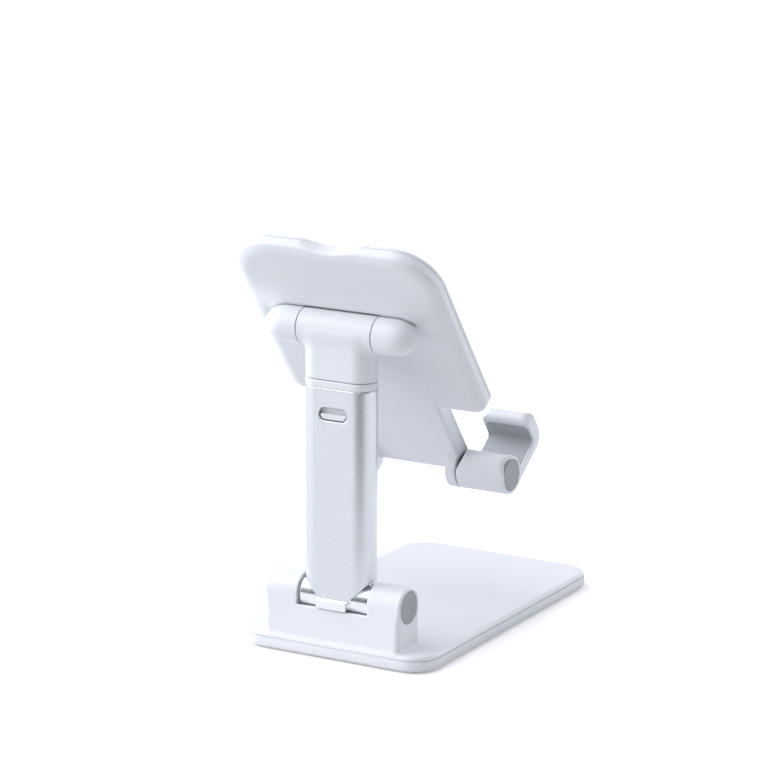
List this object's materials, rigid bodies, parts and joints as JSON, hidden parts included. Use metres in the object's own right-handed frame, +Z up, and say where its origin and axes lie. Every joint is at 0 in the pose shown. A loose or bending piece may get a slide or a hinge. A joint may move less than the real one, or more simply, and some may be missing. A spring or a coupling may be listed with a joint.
{
  "type": "phone stand",
  "caption": "Folding phone stand with a weighted flat base, a hinged telescopic post, a tilting cradle plate and fold-out hooks that carry the phone.",
  "frame": {"origin": "middle of the stand's footprint at rest, on the surface it stands on", "axes": "+X across the stand towards the user's right, -Y towards the user, +Z up"},
  "size_m": [0.0652, 0.1084, 0.1231],
  "materials": {
    "white_plastic": "satin moulded, cool white",
    "grey_cap": "matt moulded, mid grey",
    "silicone": "soft matt grey",
    "grip_rubber": "matt, dark grey",
    "aluminium": "bead-blasted, clear anodised",
    "chrome": "polished",
    "steel": "plain zinc-plated",
    "brass": "plain turned"
  },
  "bodies": {
    "base": {"base_cover": "white_plastic", "base_tray": "white_plastic", "ballast_plate": "steel", "grip_pad": "grip_rubber", "base_screws": "steel", "post_axle": "steel", "post_axle_nut": "steel", "post_washers": "steel", "base_cap_left": "grey_cap", "base_cap_right": "grey_cap"},
    "post": {"post_tube": "aluminium", "post_foot": "chrome", "foot_screws": "steel", "guide_collar": "white_plastic"},
    "stem": {"stem_tube": "aluminium", "stem_glide": "white_plastic", "glide_pin": "steel", "tee_head": "white_plastic", "neck_screws": "steel", "tee_bushes": "brass"},
    "cradle": {"cradle_shell": "white_plastic", "cradle_front": "white_plastic", "cradle_pad": "silicone", "cradle_screws": "steel", "knuckle_left": "white_plastic", "knuckle_right": "white_plastic", "knuckle_screws": "steel", "tilt_axle": "steel", "tilt_washers": "steel", "hook_pins": "steel", "hook_washers": "steel"},
    "hook_left": {"hook_left": "white_plastic", "hook_left_pad": "silicone", "hook_left_cap": "grey_cap"},
    "hook_right": {"hook_right": "white_plastic", "hook_right_pad": "silicone", "hook_right_cap": "grey_cap"}
  },
  "joints": [
    {"name": "post_hinge", "type": "hinge", "parent": "base", "child": "post", "pos_m": [0, 0.04482, 0.0175], "axis": [1, 0, 0], "range_deg": [0, 40]},
    {"name": "height_slide", "type": "slide", "parent": "post", "child": "stem", "axis": [0, 0, 1], "range_m": [0, 0.03]},
    {"name": "cradle_tilt", "type": "hinge", "parent": "stem", "child": "cradle", "pos_m": [0, 0.04482, 0.09595], "axis": [1, 0, 0], "range_deg": [-60, 36]},
    {"name": "hook_left_fold", "type": "hinge", "parent": "cradle", "child": "hook_left", "pos_m": [0, 0.00242, 0.04794], "axis": [1, 0, 0], "range_deg": [-90, 0]},
    {"name": "hook_right_fold", "type": "hinge", "parent": "cradle", "child": "hook_right", "pos_m": [0, 0.00242, 0.04794], "axis": [1, 0, 0], "range_deg": [-90, 0]}
  ]
}
